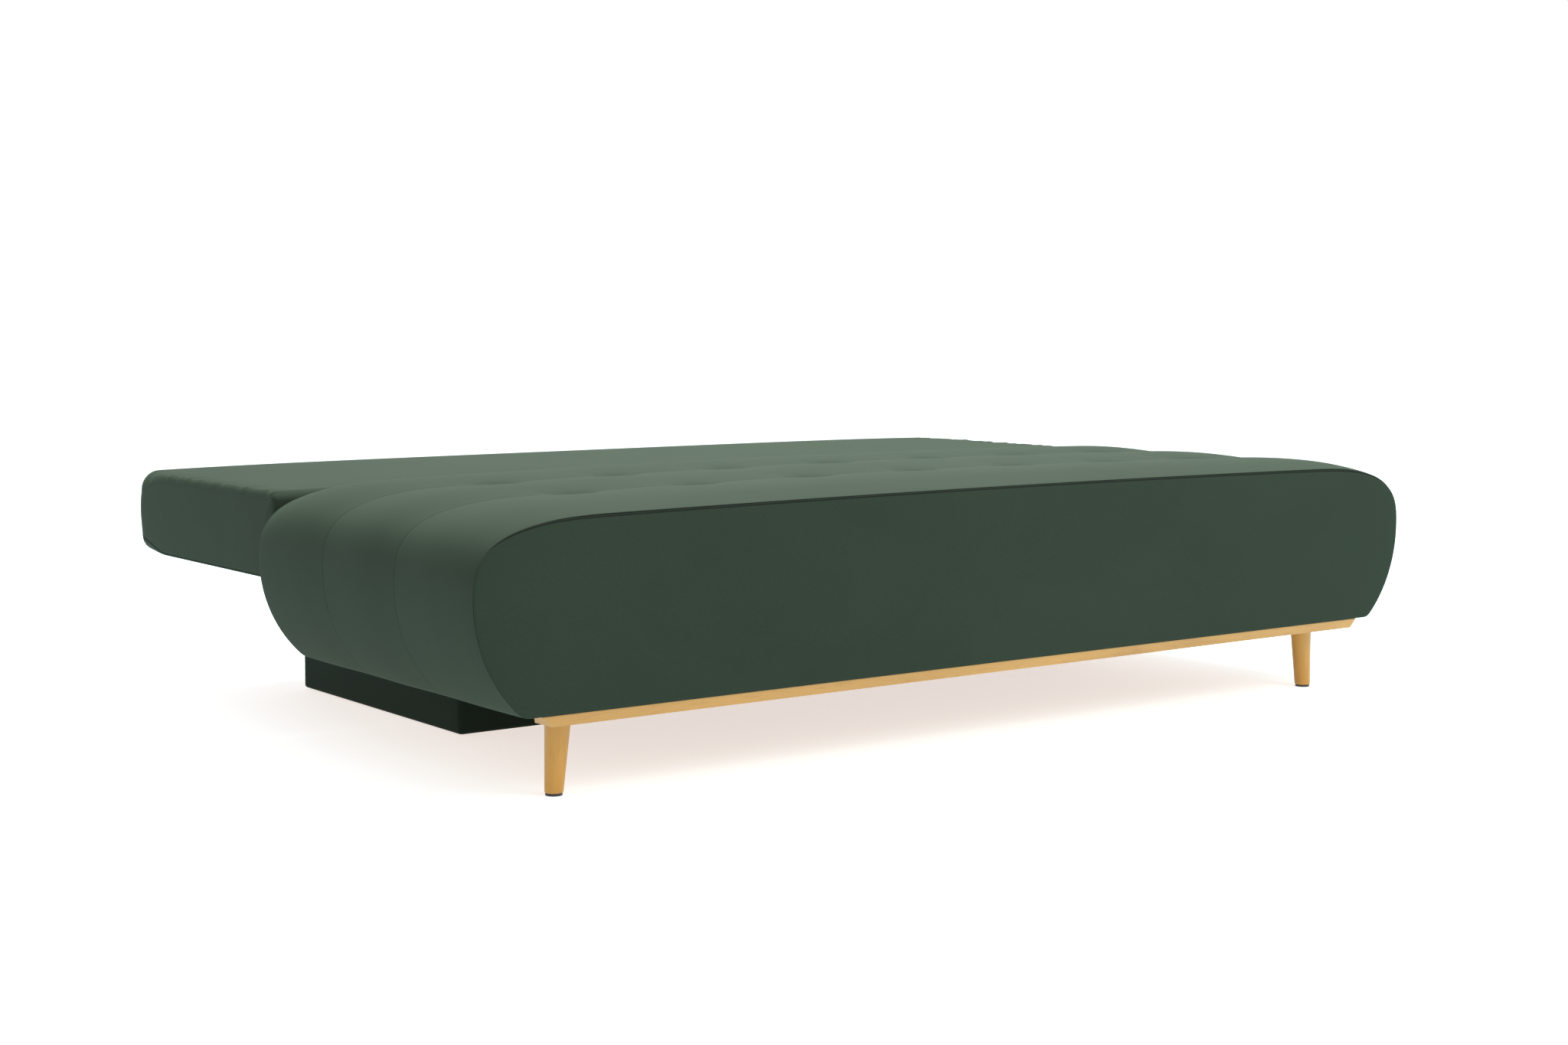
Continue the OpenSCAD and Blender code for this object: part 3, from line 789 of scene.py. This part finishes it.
def stretched_cloth(name, node, body, material, lo, hi, sag):
    """A thin cloth stapled flat under a frame, sagging a little between its staples."""
    lo, hi = Vector(lo), Vector(hi)
    nx, ny = 73, 31
    thick = 0.0008
    u, v = np.meshgrid(np.linspace(-1, 1, nx), np.linspace(-1, 1, ny), indexing="ij")
    x = lo.x + (hi.x - lo.x) * (u + 1) / 2
    y = lo.y + (hi.y - lo.y) * (v + 1) / 2
    z = lo.z - sag * (1 - u ** 4) * (1 - v ** 4)
    verts = np.concatenate([np.stack([x, y, z + k], 2).reshape(-1, 3) for k in (0, thick)])
    obj = object_from(name, verts, sheet_faces(nx, ny))
    placed(obj, body, material, [node])
    return obj


# ---- materials ----

def start_material(name):
    mat = bpy.data.materials.new(name)
    mat.use_nodes = True
    nt = mat.node_tree
    nt.nodes.clear()
    out = nt.nodes.new("ShaderNodeOutputMaterial")
    bsdf = nt.nodes.new("ShaderNodeBsdfPrincipled")
    nt.links.new(bsdf.outputs["BSDF"], out.inputs["Surface"])
    coords = nt.nodes.new("ShaderNodeTexCoord")
    return mat, nt, bsdf, coords.outputs["Object"]


def stretched(nt, coords, scale):
    node = nt.nodes.new("ShaderNodeMapping")
    node.inputs["Scale"].default_value = scale
    nt.links.new(coords, node.inputs["Vector"])
    return node.outputs["Vector"]


def noise(nt, coords, scale, detail, rough, distortion=0.0):
    node = nt.nodes.new("ShaderNodeTexNoise")
    node.inputs["Scale"].default_value = scale
    node.inputs["Detail"].default_value = detail
    node.inputs["Roughness"].default_value = rough
    node.inputs["Distortion"].default_value = distortion
    nt.links.new(coords, node.inputs["Vector"])
    return node.outputs["Fac"]


def ramp(nt, fac, stops):
    node = nt.nodes.new("ShaderNodeValToRGB")
    els = node.color_ramp.elements
    while len(els) < len(stops):
        els.new(0.5)
    for e, (pos, colour) in zip(els, stops):
        e.position = pos
        e.color = (*colour, 1)
    nt.links.new(fac, node.inputs["Fac"])
    return node.outputs["Color"]


def mixed(nt, kind, fac, a, b):
    node = nt.nodes.new("ShaderNodeMix")
    node.data_type = "RGBA"
    node.blend_type = kind
    node.inputs["Factor"].default_value = fac
    nt.links.new(a, node.inputs["A"])
    nt.links.new(b, node.inputs["B"])
    return node.outputs["Result"]


def ranged(nt, value, low, high):
    node = nt.nodes.new("ShaderNodeMapRange")
    node.inputs["To Min"].default_value = low
    node.inputs["To Max"].default_value = high
    nt.links.new(value, node.inputs["Value"])
    return node.outputs["Result"]


def bumped(nt, bsdf, layers):
    """Stacks bumps on the shader: layers are (height, strength, distance)."""
    last = None
    for height, strength, distance in layers:
        node = nt.nodes.new("ShaderNodeBump")
        node.inputs["Strength"].default_value = strength
        node.inputs["Distance"].default_value = distance
        nt.links.new(height, node.inputs["Height"])
        if last is not None:
            nt.links.new(last, node.inputs["Normal"])
        last = node.outputs["Normal"]
    nt.links.new(last, bsdf.inputs["Normal"])


def shade(colour, k):
    return tuple(c * k for c in colour)


def velvet(name, colour, sheen, tint):
    """Short-pile fabric: fibres, a soft nap that lies in patches, and a sheen at grazing angles."""
    mat, nt, bsdf, co = start_material(name)
    nap = noise(nt, stretched(nt, co, (1.0, 1.6, 1.6)), 3.2, 3.0, 0.55, 0.6)
    pile = noise(nt, co, 520, 2.0, 0.7)
    weave = noise(nt, stretched(nt, co, (1.0, 3.0, 1.0)), 260, 1.0, 0.6)
    soft = ramp(nt, nap, [(0.3, shade(colour, 0.95)), (0.7, shade(colour, 1.06))])
    fibres = ramp(nt, pile, [(0.25, (0.78, 0.78, 0.78)), (0.75, (1.0, 1.0, 1.0))])
    nt.links.new(mixed(nt, "MULTIPLY", 1.0, soft, fibres), bsdf.inputs["Base Color"])
    nt.links.new(ranged(nt, pile, 0.78, 0.95), bsdf.inputs["Roughness"])
    bsdf.inputs["Specular IOR Level"].default_value = 0.14
    bsdf.inputs["Sheen Weight"].default_value = sheen
    bsdf.inputs["Sheen Roughness"].default_value = 0.45
    bsdf.inputs["Sheen Tint"].default_value = (*tint, 1)
    bumped(nt, bsdf, [(weave, 0.25, 0.0005), (pile, 0.35, 0.0004)])
    return mat


def wood(name, light, dark, grain, rough=0.42, coat=0.0):
    """Straight-grained wood; grain gives how much the pattern is drawn out along each axis."""
    mat, nt, bsdf, co = start_material(name)
    stretched_co = stretched(nt, co, grain)
    bands = noise(nt, stretched_co, 34, 4.0, 0.6, 0.8)
    pores = noise(nt, stretched_co, 240, 2.0, 0.7)
    broad = noise(nt, co, 2.6, 2.0, 0.5)
    base = ramp(nt, bands, [(0.28, dark), (0.5, shade(light, 0.94)), (0.72, light)])
    fleck = ramp(nt, pores, [(0.30, (0.86, 0.82, 0.76)), (0.44, (1.0, 1.0, 1.0))])
    tone = ramp(nt, broad, [(0.35, (0.92, 0.91, 0.88)), (0.65, (1.0, 1.0, 1.0))])
    colour = mixed(nt, "MULTIPLY", 0.8, base, fleck)
    colour = mixed(nt, "MULTIPLY", 1.0, colour, tone)
    nt.links.new(colour, bsdf.inputs["Base Color"])
    nt.links.new(ranged(nt, bands, rough - 0.06, rough + 0.08), bsdf.inputs["Roughness"])
    bsdf.inputs["Coat Weight"].default_value = coat
    bsdf.inputs["Coat Roughness"].default_value = 0.3
    bumped(nt, bsdf, [(bands, 0.06, 0.0002), (pores, 0.08, 0.0001)])
    return mat


def solid(name, colour, rough, metallic, scale, depth, spread=0.12):
    """A plain material with a fine surface: moulded plastic, steel, rubber or felt."""
    mat, nt, bsdf, co = start_material(name)
    fine = noise(nt, co, scale, 3.0, 0.6)
    worn = noise(nt, co, 9, 2.0, 0.5)
    a = ramp(nt, fine, [(0.3, shade(colour, 1 - spread)), (0.7, shade(colour, 1 + spread))])
    b = ramp(nt, worn, [(0.3, (0.9, 0.9, 0.9)), (0.7, (1.0, 1.0, 1.0))])
    nt.links.new(mixed(nt, "MULTIPLY", 1.0, a, b), bsdf.inputs["Base Color"])
    nt.links.new(ranged(nt, fine, rough - 0.05, rough + 0.07), bsdf.inputs["Roughness"])
    bsdf.inputs["Metallic"].default_value = metallic
    bumped(nt, bsdf, [(fine, 0.2, depth)])
    return mat


GREEN = (0.0193, 0.0297, 0.0190)
SHEEN_TINT = (0.50, 0.84, 0.54)

velvet_mat = velvet("velvet", GREEN, 0.055, SHEEN_TINT)
# The base is wrapped in the seat's velvet; this copy is painted darker, as painted shade for the
# shadow it sits in under the seat.
base_shaded_velvet_mat = velvet("base_velvet", (0.0070, 0.0155, 0.0088), 0.015, SHEEN_TINT)
# The piping is the seat's velvet painted darker, as painted shade for the shadow in the front seam.
shaded_piping_mat = velvet("piping", shade(GREEN, 0.35), 0.02, SHEEN_TINT)
BEECH_LIGHT = (0.43, 0.220, 0.041)
BEECH_DARK = (0.32, 0.150, 0.023)
rail_mat = wood("beech_rail", BEECH_LIGHT, BEECH_DARK, (0.09, 1, 1), 0.42, 0.15)
leg_mat = wood("beech_leg", (0.49, 0.240, 0.027), (0.375, 0.170, 0.016), (1, 1, 0.09), 0.42, 0.15)
slat_mat = wood("beech_slat", (0.62, 0.42, 0.20), (0.48, 0.30, 0.13), (1, 0.09, 1), 0.5)
timber_mat = wood("timber", (0.60, 0.44, 0.25), (0.46, 0.31, 0.16), (0.12, 1, 1), 0.6)
steel_mat = solid("steel", (0.26, 0.265, 0.27), 0.45, 0.9, 90, 0.0001)
bright_mat = solid("bright_steel", (0.62, 0.62, 0.63), 0.28, 1.0, 160, 0.00005, 0.06)
plastic_mat = solid("plastic", (0.022, 0.023, 0.024), 0.45, 0.0, 300, 0.0001)
rubber_mat = solid("bumper_rubber", (0.018, 0.018, 0.019), 0.75, 0.0, 220, 0.0002)
felt_mat = solid("felt", (0.055, 0.056, 0.058), 0.95, 0.0, 420, 0.0006, 0.3)
lining_mat = solid("lining", (0.016, 0.017, 0.018), 0.9, 0.0, 650, 0.0003, 0.25)
foam_mat = solid("foam", (0.72, 0.66, 0.42), 0.9, 0.0, 380, 0.0005, 0.08)
cord_mat = solid("cord", (0.03, 0.03, 0.03), 0.8, 0.0, 800, 0.0004, 0.2)

SLOT_MATERIALS = {
    "velvet": velvet_mat, "base_velvet": base_shaded_velvet_mat, "piping": shaded_piping_mat, "lining": lining_mat,
    "felt": felt_mat, "foam": foam_mat, "cord": cord_mat, "timber": timber_mat,
    "beech": slat_mat, "steel": steel_mat, "bright_steel": bright_mat, "plastic": plastic_mat,
    "bumper_rubber": rubber_mat,
}
EDGES = {"timber": 0.0014, "beech": 0.0012, "steel": 0.0005, "bright_steel": 0.0004,
         "plastic": 0.0006, "bumper_rubber": 0.0012, "felt": 0.0012}


def finish_nodes():
    """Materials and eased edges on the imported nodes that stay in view."""
    for name, slot in NODE_SLOTS.items():
        obj = frame["nodes"][name]
        material = rail_mat if name == "wood_rail" else SLOT_MATERIALS[slot]
        if not obj.material_slots:
            obj.data.materials.append(material)
        for s in obj.material_slots:
            s.material = material
        if slot in EDGES:
            bevelled(obj, EDGES[slot])


# ---- studio ----

def camera():
    cam = bpy.data.objects.new("camera", bpy.data.cameras.new("camera"))
    bpy.context.scene.collection.objects.link(cam)
    cam.location = (-2.5330, -3.4936, 0.7135)
    cam.rotation_euler = (math.radians(90 - 5.301), 0, math.radians(-36.524))
    cam.data.lens = 52.36
    cam.data.sensor_width = 36
    cam.data.clip_end = 200
    bpy.context.scene.camera = cam


def floor():
    mesh = bpy.data.meshes.new("floor")
    h = 60
    mesh.from_pydata([(-h, -h, 0), (h, -h, 0), (h, h, 0), (-h, h, 0)], [], [(0, 1, 2, 3)])
    obj = bpy.data.objects.new("floor", mesh)
    bpy.context.scene.collection.objects.link(obj)
    mat = bpy.data.materials.new("floor")
    mat.use_nodes = True
    bsdf = mat.node_tree.nodes["Principled BSDF"]
    bsdf.inputs["Base Color"].default_value = (0.43, 0.60, 0.67, 1)
    bsdf.inputs["Roughness"].default_value = 0.9
    bsdf.inputs["Emission Color"].default_value = (0.765, 0.677, 0.630, 1)
    bsdf.inputs["Emission Strength"].default_value = 1.0
    mesh.materials.append(mat)


def area_light(name, place, target, size, energy, colour=(1, 1, 1)):
    data = bpy.data.lights.new(name, "AREA")
    data.shape = "SQUARE"
    data.size = size
    data.energy = energy
    data.color = colour
    obj = bpy.data.objects.new(name, data)
    bpy.context.scene.collection.objects.link(obj)
    obj.location = place
    obj.rotation_euler = (Vector(target) - Vector(place)).to_track_quat("-Z", "Y").to_euler()


def studio():
    world = bpy.data.worlds.new("studio")
    bpy.context.scene.world = world
    world.use_nodes = True
    world.node_tree.nodes["Background"].inputs["Color"].default_value = (1, 1, 1, 1)
    world.node_tree.nodes["Background"].inputs["Strength"].default_value = 1.0
    area_light("overhead", (0.7, 0.35, 3.2), (0.7, 0.35, 0.3), 2.9, 278, (0.94, 1, 0.975))
    area_light("front_fill", (1.4, -3.6, 2.7), (0.2, -0.7, 0.3), 1.8, 62)
    bpy.context.scene.view_settings.view_transform = "Standard"
    floor()


# ---- the bed ----

NODE_SLOTS = {p["node"]: p["material_slot"] for p in frame["record"]["subparts"]}

camera()
studio()
finish_nodes()

seat_strip("seat_strip_front", 0, velvet_mat, ["seat_cover", "seat_foam"])
seat_strip("seat_strip_middle", 1, velvet_mat, ["end_foam_left"])
seat_strip("seat_strip_rear", 2, velvet_mat, ["end_foam_right"])
front_panel(velvet_mat)
front_seam(shaded_piping_mat)
rear_panel(velvet_mat)
back_wrap(velvet_mat)
for side in (-1, 1):
    back_end_panel(side, velvet_mat)
    leg(side, leg_mat)
base_wrap(base_shaded_velvet_mat)
for end in ("front", "rear"):
    for side in ("left", "right"):
        node = f"roller_{end}_{side}"
        roller(node, node + "_wheel", plastic_mat)

dust_lo, dust_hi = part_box("dust_cover")
stretched_cloth("dust_cloth", "dust_cover", "seat", lining_mat,
                (dust_lo.x, dust_lo.y, dust_hi.z - 0.001), dust_hi,
                0.0012)
under_lo, under_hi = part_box("back_lining")
stretched_cloth("back_under_cloth", "back_lining", "back", lining_mat,
                (-BACK_HALF + 0.035, under_lo.y, under_lo.z + 0.0022),
                (BACK_HALF - 0.035, BACK_HI[0] - 0.077, under_hi.z), 0.0008)
